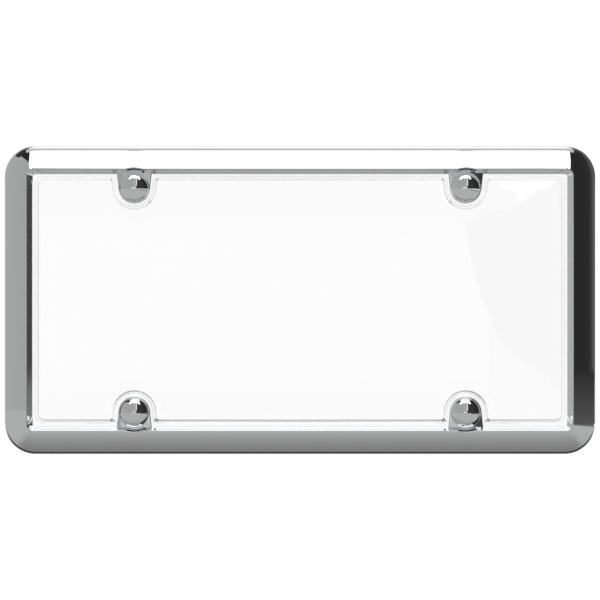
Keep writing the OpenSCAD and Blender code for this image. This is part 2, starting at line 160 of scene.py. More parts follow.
class Sheet:
    """The node sheet of one material or of the world."""

    def __init__(self, tree: bpy.types.NodeTree) -> None:
        """Empty a tree and start on it."""
        self.tree = tree
        self.tree.nodes.clear()

    def add(self, kind: str, settings: dict[str, Any] | None = None, **values: Any) -> bpy.types.Node:
        """Add one node of any kind.

        Args:
            kind: The node's type.
            settings: Properties set before the sockets. "stops" gives a ramp's stops.
            **values: A Signal or a constant for each input, by its name with _ for spaces, or by
                "n" and its number.

        Returns:
            The new node.
        """
        node = self.tree.nodes.new(kind)
        for key, value in (settings or {}).items():
            if key == "stops":
                self._set_stops(node.color_ramp, value)
            else:
                setattr(node, key, value)
        for key, value in values.items():
            slot = node.inputs[int(key[1:]) if key[1:].isdigit() else key.replace("_", " ")]
            if isinstance(value, Signal):
                self.tree.links.new(value.socket, slot)
            else:
                slot.default_value = value
        return node

    def out(self, node: bpy.types.Node, name: str | int = 0) -> Signal:
        """The Signal of one of a node's outputs."""
        return Signal(self.tree, node.outputs[name])

    @staticmethod
    def _set_stops(ramp: bpy.types.ColorRamp, stops: Sequence[tuple[float, Colour]]) -> None:
        """Give a colour ramp its stops.

        Args:
            ramp: The ramp to set.
            stops: Pairs of a place from 0 to 1 and a colour.
        """
        while len(ramp.elements) < len(stops):
            ramp.elements.new(0.5)
        for element, (place, colour) in zip(ramp.elements, stops):
            element.position = place
            element.color = (*colour, 1.0)

    def noise(self, scale: float, detail: float = 3.0, roughness: float = 0.5) -> Signal:
        """A noise over the object's own place.

        Args:
            scale: Cells for each metre.
            detail: Layers of finer noise.
            roughness: The strength of the finer layers.

        Returns:
            The noise, from 0 to 1.
        """
        place = self.out(self.add("ShaderNodeTexCoord"), "Object")
        node = self.add(
            "ShaderNodeTexNoise", Vector=place, Scale=scale, Detail=detail, Roughness=roughness
        )
        return self.out(node)

    def blend(self, factor: Signal, first: "Colour | Signal", second: "Colour | Signal") -> Signal:
        """Mix two colours.

        Args:
            factor: 0 gives the first colour and 1 the second.
            first: A colour or a Signal.
            second: A colour or a Signal.

        Returns:
            The mixed colour.
        """
        node = self.add("ShaderNodeMix", {"data_type": "RGBA"})
        self.tree.links.new(factor.socket, node.inputs[0])
        for slot, colour in ((node.inputs[6], first), (node.inputs[7], second)):
            if isinstance(colour, Signal):
                self.tree.links.new(colour.socket, slot)
            else:
                slot.default_value = (*colour, 1.0)
        return self.out(node, 2)

    def vector(self, operation: str, *values: "Colour | Signal") -> Signal:
        """The result of a Vector Math node.

        Args:
            operation: The node's operation.
            *values: A Signal or three numbers for each input.

        Returns:
            A vector, or a number for the operation LENGTH.
        """
        inputs = {f"n{i}": value for i, value in enumerate(values)}
        node = self.add("ShaderNodeVectorMath", {"operation": operation}, **inputs)
        return self.out(node, "Value" if operation == "LENGTH" else "Vector")

    def glow(self, colour: "Colour | Signal") -> bpy.types.Node:
        """Add an emission of strength 1."""
        shown = colour if isinstance(colour, Signal) else (*colour, 1.0)
        return self.add("ShaderNodeEmission", Color=shown, Strength=1.0)

    def bump(self, height: Signal, strength: float, distance: float) -> Signal:
        """A bumped normal.

        Args:
            height: The height field.
            strength: From 0 to 1.
            distance: The bump's height in metres.

        Returns:
            The normal.
        """
        return self.out(self.add("ShaderNodeBump", Height=height, Strength=strength, Distance=distance))

    def finish(self, shader: bpy.types.Node, kind: str = "ShaderNodeOutputMaterial") -> None:
        """Link the last shader to the output."""
        output = self.add(kind)
        self.tree.links.new(shader.outputs[0], output.inputs["Surface"])


# ---------------------------------------------------------------- finishes


class Finish:
    """A finish that can write its own material."""

    name: str

    def material(self) -> bpy.types.Material:
        """The finish's material, made once.

        Returns:
            The material.
        """
        title = f"{self.name}_finish"
        found = bpy.data.materials.get(title)
        if found is None:
            found = bpy.data.materials.new(title)
            found.use_nodes = True
            sheet = Sheet(found.node_tree)
            sheet.finish(self.write(sheet))
        return found

    def write(self, sheet: Sheet) -> bpy.types.Node:
        """Write the finish's nodes and return its shader."""
        raise NotImplementedError


@dataclass(frozen=True)
class Chrome(Finish):
    """Bright plating with a little waviness and haze."""

    name: str
    bright: Colour = (0.90, 0.905, 0.915)
    dull: Colour = (0.86, 0.865, 0.875)
    roughness: float = 0.02
    haze: float = 0.03
    haze_scale: float = 60.0
    wave: float = 0.05
    wave_m: float = 0.0002
    wave_scale: float = 35.0

    def write(self, sheet: Sheet) -> bpy.types.Node:
        """Write the plating's nodes and return its shader."""
        haze = sheet.noise(self.haze_scale, 4.0, 0.6)
        swell = sheet.noise(self.wave_scale, 1.0)
        return sheet.add(
            "ShaderNodeBsdfPrincipled",
            Base_Color=sheet.blend(haze, self.bright, self.dull),
            Metallic=1.0,
            Roughness=self.roughness + self.haze * haze,
            Normal=sheet.bump(swell, self.wave, self.wave_m),
        )


@dataclass(frozen=True)
class ClearSheet(Finish):
    """Clear glossy moulded sheet."""

    name: str
    tint: Colour = (0.995, 0.997, 0.997)
    shade: Colour = (0.985, 0.989, 0.989)
    ior: float = 1.45
    roughness: float = 0.004
    haze: float = 0.006
    haze_scale: float = 12.0

    def write(self, sheet: Sheet) -> bpy.types.Node:
        """Write the sheet's nodes and return its shader."""
        drift = sheet.noise(self.haze_scale, 2.0)
        return sheet.add(
            "ShaderNodeBsdfPrincipled",
            Base_Color=sheet.blend(drift, self.tint, self.shade),
            Metallic=0.0,
            Roughness=self.roughness + self.haze * drift,
            IOR=self.ior,
            Transmission_Weight=1.0,
        )


@dataclass(frozen=True)
class Nylon(Finish):
    """Moulded nylon, natural or dyed."""

    name: str
    body: Colour
    shade: Colour
    subsurface: float = 0.25
    subsurface_m: float = 0.002
    ior: float = 1.53
    roughness: float = 0.36
    haze: float = 0.16
    haze_scale: float = 260.0
    grain: float = 0.15
    grain_m: float = 0.00005
    grain_scale: float = 2600.0

    def write(self, sheet: Sheet) -> bpy.types.Node:
        """Write the nylon's nodes and return its shader."""
        cloud = sheet.noise(self.haze_scale, 4.0)
        grain = sheet.noise(self.grain_scale, 2.0)
        return sheet.add(
            "ShaderNodeBsdfPrincipled",
            Base_Color=sheet.blend(cloud, self.body, self.shade),
            Metallic=0.0,
            Roughness=self.roughness + self.haze * cloud,
            IOR=self.ior,
            Subsurface_Weight=self.subsurface,
            Subsurface_Scale=self.subsurface_m,
            Normal=sheet.bump(grain, self.grain, self.grain_m),
        )


@dataclass(frozen=True)
class ZincPlate(Finish):
    """Bright zinc over steel, with drawing marks and a faint bloom."""

    name: str
    bright: Colour = (0.66, 0.67, 0.68)
    bloom: Colour = (0.52, 0.53, 0.55)
    roughness: float = 0.2
    haze: float = 0.22
    haze_scale: float = 420.0
    grain: float = 0.2
    grain_m: float = 0.00003
    grain_scale: float = 4200.0

    def write(self, sheet: Sheet) -> bpy.types.Node:
        """Write the plating's nodes and return its shader."""
        bloom = sheet.noise(self.haze_scale, 5.0, 0.65)
        grain = sheet.noise(self.grain_scale, 2.0)
        return sheet.add(
            "ShaderNodeBsdfPrincipled",
            Base_Color=sheet.blend(bloom, self.bright, self.bloom),
            Metallic=1.0,
            Roughness=self.roughness + self.haze * bloom,
            Normal=sheet.bump(grain, self.grain, self.grain_m),
        )


class Finishes(Enum):
    """The holder's finishes, by the name of their slot in the record."""

    FRAME = Chrome("chrome_frame")
    CAP = Chrome("chrome_cap", roughness=0.015, haze=0.02, wave=0.0)
    SHIELD = ClearSheet("clear_shield")
    NYLON = Nylon("natural_nylon", (0.87, 0.87, 0.83), (0.80, 0.80, 0.75))
    ZINC = ZincPlate("zinc_steel")
    BLUE = Nylon("blue_nylon", (0.035, 0.065, 0.24), (0.02, 0.04, 0.16), 0.05)


# ---------------------------------------------------------------- meshes


class Shell:
    """Vertices and faces of one piece while it is being built."""

    def __init__(self) -> None:
        """Start with nothing."""
        self.points: list[Points] = []
        self.faces: list[tuple[int, ...]] = []
        self.count = 0

    def add(self, points: Points) -> int:
        """Add flat points and return the number of the first one."""
        start = self.count
        block = np.asarray(points, float).reshape(-1, 3)
        self.points.append(block)
        self.count += len(block)
        return start

    def bridge(self, first: int, second: int, size: int, closed: bool = True) -> None:
        """Join two rows of points of the same size with quads.

        Args:
            first: The first row's first point.
            second: The second row's first point.
            size: The points in each row.
            closed: True if each row is a ring.
        """
        for i in range(size if closed else size - 1):
            j = (i + 1) % size
            self.faces.append((first + i, first + j, second + j, second + i))

    def cap(self, first: int, size: int, flip: bool = False) -> None:
        """Close a ring of points with one face."""
        ring = range(first, first + size)
        self.faces.append(tuple(reversed(ring)) if flip else tuple(ring))

    def loft(self, rings: Sequence[Points], closed: bool = False) -> None:
        """Join rings of points one after the other.

        Args:
            rings: Arrays of the same number of flat points.
            closed: True joins the last ring to the first.
        """
        starts = [self.add(ring) for ring in rings]
        pairs = list(zip(starts, starts[1:])) + ([(starts[-1], starts[0])] if closed else [])
        for a, b in pairs:
            self.bridge(a, b, len(rings[0]))

    def object(self, name: str, sharp_deg: float = SHARP_DEG) -> bpy.types.Object:
        """Make the mesh object, with smooth faces and sharp edges by angle.

        Args:
            name: The object's name.
            sharp_deg: Edges that turn by more than this stay sharp.

        Returns:
            The object, linked to the scene.
        """
        mesh = bpy.data.meshes.new(name)
        mesh.from_pydata(to_row(np.vstack(self.points)).tolist(), [], self.faces)
        work = bmesh.new()
        work.from_mesh(mesh)
        bmesh.ops.recalc_face_normals(work, faces=work.faces)
        work.to_mesh(mesh)
        work.free()
        for polygon in mesh.polygons:
            polygon.use_smooth = True
        mesh.set_sharp_from_angle(angle=math.radians(sharp_deg))
        return add_object(name, mesh)


def dress(piece: bpy.types.Object, finish: Finishes, *nodes: str) -> None:
    """Give a new piece its finish, its body and the solids that it stands for.

    Args:
        piece: The new piece.
        finish: Its finish.
        *nodes: The CAD nodes that it replaces.
    """
    piece.data.materials.clear()
    piece.data.materials.append(finish.value.material())
    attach(piece, ROOT)
    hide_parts(*nodes)
    LOG.info("%s: %d faces, in place of %s", piece.name, len(piece.data.polygons), ", ".join(nodes))


def fillet(a: Points, b: Points, c: Points, radius: float, share: float, steps: int) -> Points:
    """Round the corner at b on the way from a to c.

    Args:
        a: The point before the corner.
        b: The corner.
        c: The point after the corner.
        radius: The wanted radius.
        share: The share of the shorter side that the rounding may take.
        steps: The chords of the arc.

    Returns:
        The arc's steps + 1 points.
    """
    a, b, c = (np.asarray(p, float) for p in (a, b, c))
    u, v = a - b, c - b
    nu, nv = np.linalg.norm(u), np.linalg.norm(v)
    u, v = u / nu, v / nv
    half = math.acos(float(np.clip(u @ v, -1, 1))) / 2
    reach = min(radius / math.tan(half), share * min(nu, nv))
    centre = b + (u + v) / np.linalg.norm(u + v) * reach / math.cos(half)
    start, end = b + u * reach - centre, b + v * reach - centre
    angle = math.atan2(start[1], start[0])
    turn = math.atan2(start[0] * end[1] - start[1] * end[0], float(start @ end))
    r = reach * math.tan(half)
    angles = angle + turn * np.linspace(0, 1, steps + 1)
    return centre + r * np.column_stack([np.cos(angles), np.sin(angles)])


def soft_min(a: Points, b: Points, width: float) -> Points:
    """The smaller of two fields, blended over a width where they cross."""
    share = np.clip(0.5 + 0.5 * (b - a) / width, 0, 1)
    return b * (1 - share) + a * share - width * share * (1 - share)


def spin(
    profile: Points, segments: int, radius_of: Callable[[Points, float], Points] | None = None
) -> Shell:
    """Turn a profile about the h axis.

    Args:
        profile: (r, h) rows. The first and last lie on the axis, or the profile is a closed ring.
        segments: Steps of the turn.
        radius_of: Gives the radii of the profile at an angle in radians, if they change with it.

    Returns:
        The shell.
    """
    shell = Shell()
    angles = np.linspace(0, 2 * math.pi, segments, endpoint=False)
    on_axis = profile[0][0] < TINY and profile[-1][0] < TINY
    body = profile[1:-1] if on_axis else profile
    rows = []
    for angle in angles:
        r = body[:, 0] if radius_of is None else radius_of(body, angle)
        rows.append(np.column_stack([r * math.cos(angle), r * math.sin(angle), body[:, 1]]))
    starts = [shell.add(row) for row in rows]
    size = len(body)
    for a, b in zip(starts, starts[1:] + starts[:1]):
        shell.bridge(a, b, size, closed=not on_axis)
    if on_axis:
        for end, first in ((0, profile[0]), (size - 1, profile[-1])):
            pole = shell.add(np.array([[0, 0, first[1]]]))
            for a, b in zip(starts, starts[1:] + starts[:1]):
                shell.faces.append((pole, a + end, b + end))
    return shell


# ---------------------------------------------------------------- the holder's sizes


@dataclass(frozen=True)
class Sizes:
    """The sizes that the pieces share, as in the solids."""

    frame_w: float = 317.5
    frame_h: float = 165.5
    bar_w: float = 15.2
    ridge_z: float = 9.5
    side_z: float = 0.8
    rear_z: float = -3.0
    lip_z: float = 1.5
    tab_z: float = 3.5
    seat_z: float = 4.9
    plate_z: float = -1.5
    wall_run: float = 2.2
    face_crown: float = 0.6
    wall_t: float = 2.0
    edge_r: float = 3.2
    ridge_r: float = 0.4
    window_r: float = 1.3
    hole_dx: float = 177.8
    fixing_in: float = 22.425
    tab_r: float = 8.5
    tab_root: float = 9.3
    bore_r: float = 3.8
    pocket_r: float = 8.65
    pocket_run: float = 1.6

    @property
    def hole_dy(self) -> float:
        """The spacing of the fixings up the plate."""
        return self.frame_h - 2 * self.fixing_in

    @property
    def corner_r(self) -> float:
        """The radius of the frame's outer corners."""
        return self.bar_w + self.window_r

    @property
    def tab_reach(self) -> float:
        """The distance from a fixing to the window's edge."""
        return self.fixing_in - self.bar_w

    @property
    def tab_lean(self) -> float:
        """The lean of a tab's sides, in radians."""
        return math.acos(self.tab_r / math.hypot(self.tab_root, self.tab_reach)) - math.atan2(
            self.tab_reach, self.tab_root
        )

    def window(self) -> tuple[float, float]:
        """The half width and half height of the window."""
        return self.frame_w / 2 - self.bar_w, self.frame_h / 2 - self.bar_w

    def fixings(self) -> dict[str, tuple[float, float]]:
        """The place of each fixing by its name."""
        x, y = self.hole_dx / 2, self.hole_dy / 2
        return {
            "top_left": (-x, y),
            "top_right": (x, y),
            "bottom_left": (-x, -y),
            "bottom_right": (x, -y),
        }


@dataclass(frozen=True)
class Side:
    """One straight side of the frame."""

    out: Points
    along: Points
    across: bool
    half: float
    depth: float

    def spot(self, place: float) -> Points:
        """The point of the outer edge at a distance along the side from its middle."""
        return self.out * self.depth + self.along * place


@dataclass
class FrameCasting:
    """The chromed frame: one hollow section all round, with tabs, relief pockets and ribs.

    A rounding takes up to its share of the shorter side next to it. blend softens the line where a
    pocket meets the wall. The sections stand every fine millimetres near a fixing, and about every
    coarse millimetres elsewhere.
    """

    sizes: Sizes
    blend: float = 0.7
    rib_t: float = 1.4
    rib_pitch: float = 48.0
    rib_z: float = 2.1
    tab_edge_r: float = 0.45
    tab_lift: float = 0.02
    hollow_r: float = 0.3
    edge_share: float = 0.42
    face_share: float = 0.72
    no_pocket: float = 5.0
    probe_drop: float = 2.0
    crest_passes: int = 4
    arc_steps: int = 8
    face_steps: int = 18
    wall_steps: int = 16
    corner_steps: int = 24
    tab_end_steps: int = 48
    tab_side_steps: int = 8
    tab_rim_steps: int = 5
    sharp_deg: float = 28.0
    near: float = 7.5
    near_gap: float = 1.0
    fine: float = 0.25
    coarse: float = 9.0

    def _controls(self, inset: float) -> list[Points]:
        """The corners of a bar's section path.

        Args:
            inset: How far the path lies inside the outer surface.

        Returns:
            The foot, shoulder, middle of the face, ridge and window edge as (u, h), with u the
            distance in from the outer edge.
        """
        s = self.sizes
        shoulder = np.array([0.0, s.side_z])
        ridge = np.array([s.bar_w - s.wall_run, s.ridge_z])
        edge = np.array([s.bar_w, s.lip_z])
        slope = (ridge - shoulder) / np.linalg.norm(ridge - shoulder)
        middle = (ridge + shoulder) / 2 + s.face_crown * np.array([-slope[1], slope[0]])
        path = [np.array([0.0, s.rear_z]), shoulder, middle, ridge, edge]
        if inset == 0:
            return path
        sides = [(b - a) / np.linalg.norm(b - a) for a, b in zip(path, path[1:])]
        inward = [np.array([d[1], -d[0]]) for d in sides]
        out = [path[0] + np.array([inset, 0.0])]
        for i in range(1, 4):
            a, b = inward[i - 1], inward[i]
            out.append(path[i] + (a + b) * inset / (1 + a @ b))
        foot = path[4] + inward[3] * inset
        out.append(foot + sides[3] * (s.lip_z - foot[1]) / sides[3][1])
        return out

    def _pocket_u(self, height: Points, offset: float, grow: float) -> Points:
        """The distance in from the outer edge of a pocket's wall.

        Args:
            height: Heights on the wall.
            offset: The distance along the bar from the nearest fixing.
            grow: How far the surface lies outside the pocket.

        Returns:
            The distances, which are large where there is no pocket.
        """
        s = self.sizes
        lean = s.pocket_run / (s.ridge_z - s.tab_z)
        radius = s.pocket_r + grow + lean * (np.maximum(height, s.tab_z) - s.tab_z)
        left = radius**2 - offset**2
        return s.fixing_in - np.where(left > 0, np.sqrt(np.maximum(left, 0)), -self.no_pocket)

    def _section(self, inset: float, offset: float, radii: tuple[float, float]) -> Points:
        """A bar's section path at one place along it.

        Args:
            inset: How far the path lies inside the outer surface.
            offset: The distance along the bar from the nearest fixing.
            radii: The roundings of the outer edge and of the ridge.

        Returns:
            The path from the foot over the ridge to the window's edge, as (u, h) rows.
        """
        foot, shoulder, middle, ridge, edge = self._controls(inset)

        def wall(height: Points) -> Points:
            """The wall's distance in at some heights."""
            straight = ridge[0] + (edge[0] - ridge[0]) * (ridge[1] - height) / (ridge[1] - edge[1])
            return soft_min(straight, self._pocket_u(height, offset, inset), self.blend)

        rise = (ridge - middle) / np.linalg.norm(ridge - middle)
        crest = ridge.copy()
        for _ in range(self.crest_passes):
            crest = ridge + rise * (float(wall(np.array([crest[1]]))[0]) - ridge[0]) / rise[0]
        below = np.array([crest[1] - self.probe_drop])
        probe = np.array([float(wall(below)[0]), below[0]])
        top = fillet(middle, crest, probe, radii[1], self.edge_share, self.arc_steps)
        heights = np.linspace(top[-1][1], edge[1], self.wall_steps + 1)[1:]
        # the wall below the rounding eases from the arc's end into the pocket's own curve
        slip = top[-1][0] - float(wall(np.array([top[-1][1]]))[0])
        ease = np.linspace(1, 0, self.wall_steps + 1)[1:] ** 3
        return np.vstack(
            [
                foot,
                fillet(foot, shoulder, middle, radii[0], self.edge_share, self.arc_steps),
                fillet(shoulder, middle, crest, self.sizes.frame_w, self.face_share, self.face_steps),
                top,
                np.column_stack([wall(heights) + slip * ease, heights]),
            ]
        )

    def _sides(self) -> list[Side]:
        """The four sides, from the top one round to the right."""
        s = self.sizes
        halves = (s.frame_w / 2, s.frame_h / 2)
        sides = []
        for number in range(4):
            turn = math.radians(90 * number)
            out = np.array([math.sin(turn), math.cos(turn)])
            along = np.array([math.cos(turn), -math.sin(turn)])
            across = number % 2 == 0
            half, depth = halves if across else halves[::-1]
            sides.append(Side(out, along, across, half - s.corner_r, depth))
        return sides

    def _stations(self) -> list[tuple[Points, Points, float]]:
        """The places round the frame at which the section is drawn.

        Returns:
            For each place its point on the outer edge, its inward direction and its distance
            along the bar from the nearest fixing.
        """
        s = self.sizes
        fixings = (-s.hole_dx / 2, s.hole_dx / 2)
        found: list[tuple[Points, Points, float]] = []
        for side in self._sides():
            count = int(2 * side.half / self.coarse) + 2
            places = set(np.round(np.linspace(-side.half, side.half, count), 6))
            if side.across:
                steps = np.arange(-self.near, self.near + self.fine / 2, self.fine)
                for fixing in fixings:
                    places = {p for p in places if abs(p - fixing) > self.near + self.near_gap}
                    places |= set(np.round(fixing + steps, 6))
            for place in sorted(places):
                offset = min(abs(place - fixing) for fixing in fixings) if side.across else FAR
                found.append((side.spot(place), -side.out, offset))
            centre = side.spot(side.half) - side.out * s.corner_r
            for turn in np.radians(np.linspace(0, 90, self.corner_steps + 1)[1:-1]):
                direction = side.out * math.cos(turn) + side.along * math.sin(turn)
                found.append((centre + direction * s.corner_r, -direction, FAR))
        return found

    def _ring(self, shell: Shell) -> None:
        """Sweep the hollow section round the frame."""
        s = self.sizes
        rings = []
        for point, inward, offset in self._stations():
            outside = self._section(0.0, offset, (s.edge_r, s.ridge_r))
            inside = self._section(s.wall_t, offset, (self.hollow_r, self.hollow_r))
            loop = np.vstack([outside, inside[::-1]])
            plan = point + loop[:, :1] * inward
            rings.append(np.column_stack([plan, loop[:, 1]]))
        shell.loft(rings, closed=True)

    def _ribs(self, shell: Shell) -> None:
        """Set the stiffening ribs into the hollow back."""
        path = self._controls(self.sizes.wall_t / 2)
        low = self.rib_z
        start = path[1].copy()
        if path[1][1] < low:
            start = path[1] + (path[2] - path[1]) * (low - path[1][1]) / (path[2][1] - path[1][1])
        end = path[3] + (path[4] - path[3]) * (low - path[3][1]) / (path[4][1] - path[3][1])
        outline = np.array([start, path[2], path[3], end])
        size = len(outline)
        for side in self._sides():
            count = math.ceil(2 * side.half / self.rib_pitch)
            for place in np.linspace(-side.half, side.half, count + 1):
                faces = []
                for edge in (-self.rib_t / 2, self.rib_t / 2):
                    plan = side.spot(place + edge) - side.out * outline[:, :1]
                    faces.append(shell.add(np.column_stack([plan, outline[:, 1]])))
                shell.bridge(faces[0], faces[1], size)
                shell.cap(faces[0], size, flip=True)
                shell.cap(faces[1], size)

    def _tab_outline(self, shrink: float) -> Points:
        """A tab's outline, with y towards the nearest bar.

        Args:
            shrink: How far the outline lies inside the tab's own.

        Returns:
            The open outline from the right root round the end to the left root, as (x, y) rows.
        """
        s = self.sizes
        lean = s.tab_lean
        radius = s.tab_r - shrink
        far = s.tab_reach + s.wall_run
        root = (radius + far * math.sin(lean)) / math.cos(lean)
        angles = np.linspace(-lean, -math.pi + lean, self.tab_end_steps + 1)
        end = radius * np.column_stack([np.cos(angles), np.sin(angles)])
        right = np.linspace([root, far], end[0], self.tab_side_steps + 1)[:-1]
        left = np.linspace(end[-1], [-root, far], self.tab_side_steps + 1)[1:]
        return np.vstack([right, end, left])

    def _tabs(self, shell: Shell) -> None:
        """Set the four tabs, with rounded rims and their bores, into the frame."""
        s = self.sizes
        r = self.tab_edge_r
        turns = np.radians(np.linspace(0, 90, self.tab_rim_steps + 1))
        foot = s.lip_z + self.tab_lift
        layers = [(0.0, foot)]
        layers += [(r * (1 - math.cos(t)), s.tab_z - r + r * math.sin(t)) for t in turns]
        size = len(self._tab_outline(0))
        angles = np.linspace(0, 2 * math.pi, size, endpoint=False) + math.pi / 4
        for x, y in s.fixings().values():
            sign = 1 if y > 0 else -1
            rings = []
            for shrink, height in layers:
                plan = self._tab_outline(shrink) * sign + (x, y)
                rings.append(np.column_stack([plan, np.full(size, height)]))
            for height in (s.tab_z, foot):
                plan = s.bore_r * np.column_stack([np.cos(angles), -np.sin(angles)]) * sign + (x, y)
                rings.append(np.column_stack([plan, np.full(size, height)]))
            shell.loft(rings, closed=True)

    def build(self) -> None:
        """Build the frame and put it in the place of its solid."""
        shell = Shell()
        self._ring(shell)
        self._ribs(shell)
        self._tabs(shell)
        dress(shell.object("chromed_frame", self.sharp_deg), Finishes.FRAME, "frame")


@dataclass
class BubbleShield:
    """The clear sheet: a flange under the frame's lip and a raised, gently domed bubble.

    straight_rows counts the points of the outline's straight parts: up to the recess, along its
    sides, from it to the corner, and down the side. The points that fill the top stand on a grid,
    shifted off the outline's own lines and at least grid_gap of its step away from them.
    """

    sizes: Sizes
    thick: float = 1.5
    lap: float = 6.0
    flange_r: float = 5.0
    flange_steps: int = 8
    step_h: float = 3.0
    step_deg: float = 55.0
    step_gap: float = 0.5
    dome_rise: float = 1.5
    bubble_r: float = 6.0
    foot_r: float = 0.9
    top_r: float = 2.1
    notch_r: float = 1.2
    notch_share: float = 0.4
    notch_steps: int = 6
    end_steps: int = 40
    corner_steps: int = 14
    straight_rows: tuple[int, int, int, int] = (14, 6, 8, 9)
    tip_r: float = 0.4
    lead: float = 6.0
    foot_lead: float = 4.0
    bend_share: float = 0.45
    foot_steps: int = 7
    top_steps: int = 9
    bore_steps: int = 48
    sharp_deg: float = 30.0
    grid: float = 6.0
    grid_shift: tuple[float, float] = (0.37, 0.23)
    grid_gap: float = 0.45

    def _dome(self, plan: Points) -> Points:
        """The bubble's rise above the step's top at some places."""
        reach = math.hypot(*self.sizes.window())
        return self.dome_rise * (1 - (plan[:, 0] ** 2 + plan[:, 1] ** 2) / reach**2)

    def _quadrant(self, inset: float) -> Points:
        """The bubble's outline from the middle of the top to the middle of the right side.

        Args:
            inset: How far the outline lies inside the step's foot.

        Returns:
            (x, y) rows, always of the same number.
        """
        s = self.sizes
        a, b = (half - self.step_gap - inset for half in s.window())
        cx, cy = s.hole_dx / 2, s.hole_dy / 2
        lean = s.tab_lean
        low = s.tab_r + self.step_gap + inset
        radius = max(self.bubble_r - inset, self.tip_r)
        up = b - cy
        out = (low + up * math.sin(lean)) / math.cos(lean)
        side = low * np.array([math.cos(lean), -math.sin(lean)])
        corner = np.array([out, up])
        ahead = [out + self.lead, up]
        bend = fillet(ahead, corner, side, self.notch_r, self.notch_share, self.notch_steps)
        left_bend = bend * (-1, 1)
        angles = np.linspace(math.pi + lean, 2 * math.pi - lean, self.end_steps + 1)
        end = low * np.column_stack([np.cos(angles), np.sin(angles)])
        centre = np.array([cx, cy])
        arc = np.radians(np.linspace(90, 0, self.corner_steps + 1))
        corner_arc = radius * np.column_stack([np.cos(arc), np.sin(arc)]) + (a - radius, b - radius)
        middle, beside, outer, upright = self.straight_rows
        parts = [
            np.linspace([0, b], centre + left_bend[0], middle)[:-1],
            centre + left_bend,
            np.linspace(centre + left_bend[-1], centre + end[0], beside)[1:-1],
            centre + end,
            np.linspace(centre + end[-1], centre + bend[-1], beside)[1:-1],
            centre + bend[::-1],
            np.linspace(centre + bend[0], corner_arc[0], outer)[1:-1],
            corner_arc,
            np.linspace(corner_arc[-1], [a, 0], upright)[1:-1],
        ]
        return np.vstack(parts)

    def _outline(self, inset: float) -> Points:
        """The bubble's whole outline at some inset from the step's foot."""
        quarter = self._quadrant(inset)
        a = self.sizes.window()[0] - self.step_gap - inset
        right = np.vstack([quarter, [[a, 0.0]], (quarter * (1, -1))[::-1][:-1]])
        bottom = quarter[0] * (1, -1)
        left = (right[1:] * (-1, 1))[::-1]
        return np.vstack([right, [bottom], left])

    def _profile(self) -> tuple[Points, Points]:
        """The step's profile on the front and on the back.

        Returns:
            (inset, height) rows for the front and for the back.
        """
        run = self.step_h / math.tan(math.radians(self.step_deg))
        before, foot = (-self.foot_lead, 0.0), (0.0, 0.0)
        top, after = (run, self.step_h), (run + self.lead, self.step_h)
        foot_bend = fillet(before, foot, top, self.foot_r, self.bend_share, self.foot_steps)
        top_bend = fillet(foot, top, after, self.top_r, self.bend_share, self.top_steps)
        curve = np.vstack([foot_bend, top_bend])
        tangent = np.gradient(curve, axis=0)
        tangent[0], tangent[-1] = (1, 0), (1, 0)
        tangent /= np.linalg.norm(tangent, axis=1, keepdims=True)
        back = curve + self.thick * np.column_stack([tangent[:, 1], -tangent[:, 0]])
        return curve, back

    def _rings(self, curve: Points) -> list[Points]:
        """The rings of the step on one face of the sheet.

        Args:
            curve: (inset, height) rows of the step, from the flange's front.

        Returns:
            Rings of flat points from the foot inwards.
        """
        rings = []
        low, high = curve[0][1], curve[-1][1]
        for inset, height in curve:
            plan = self._outline(inset)
            share = (height - low) / (high - low)
            rings.append(np.column_stack([plan, self.thick + height + share * self._dome(plan)]))
        return rings

    @staticmethod
    def _inside(points: Points, outline: Points) -> Points:
        """Which points lie inside a closed outline."""
        x, y = points[:, 0:1], points[:, 1:2]
        x0, y0 = outline[:, 0], outline[:, 1]
        x1, y1 = np.roll(x0, -1), np.roll(y0, -1)
        crosses = (y0 > y) != (y1 > y)
        with np.errstate(divide="ignore", invalid="ignore"):
            at = x0 + (y - y0) * (x1 - x0) / (y1 - y0)
        return (crosses & (x < at)).sum(axis=1) % 2 == 1

    def _fill(
        self,
        shell: Shell,
        loops: Sequence[tuple[int, Points]],
        extra: Points | None = None,
        height: Callable[[Points], Points] | None = None,
    ) -> None:
        """Fill between loops of points that the shell has already.

        Args:
            shell: The shell.
            loops: For each loop the number of its first point and its (x, y) rows. The first loop
                is the outer one, and the others are holes.
            extra: More (x, y) rows inside.
            height: Gives the heights of the extra points.
        """
        plan = np.vstack([loop for _, loop in loops] + ([] if extra is None else [extra]))
        edges, numbers, base = [], [], 0
        for first, loop in loops:
            size = len(loop)
            edges += [(base + i, base + (i + 1) % size) for i in range(size)]
            numbers += list(range(first, first + size))
            base += size
        if extra is not None and height is not None:
            first = shell.add(np.column_stack([extra, height(extra)]))
            numbers += list(range(first, first + len(extra)))
        flat = [Vector(point) for point in plan]
        coords, _, faces, origins, _, _ = delaunay_2d_cdt(flat, edges, [], 0, WELD)
        spots = np.array([tuple(c) for c in coords])
        triangles = np.array([f for f in faces if len(f) == 3])
        middle = spots[triangles].mean(axis=1)
        keep = self._inside(middle, loops[0][1])
        for _, hole in loops[1:]:
            keep &= ~self._inside(middle, hole)
        lookup = [numbers[origin[0]] for origin in origins]
        shell.faces += [tuple(lookup[i] for i in triangle) for triangle in triangles[keep]]

    def _flange(self) -> Points:
        """The outline of the flange."""
        a, b = (half + self.lap for half in self.sizes.window())
        arc = np.radians(np.linspace(90, 0, self.flange_steps + 1))
        r = self.flange_r
        quarter = np.array([a - r, b - r]) + r * np.column_stack([np.cos(arc), np.sin(arc)])
        right = np.vstack([quarter, (quarter * (1, -1))[::-1]])
        return np.vstack([right, right * (-1, -1)])

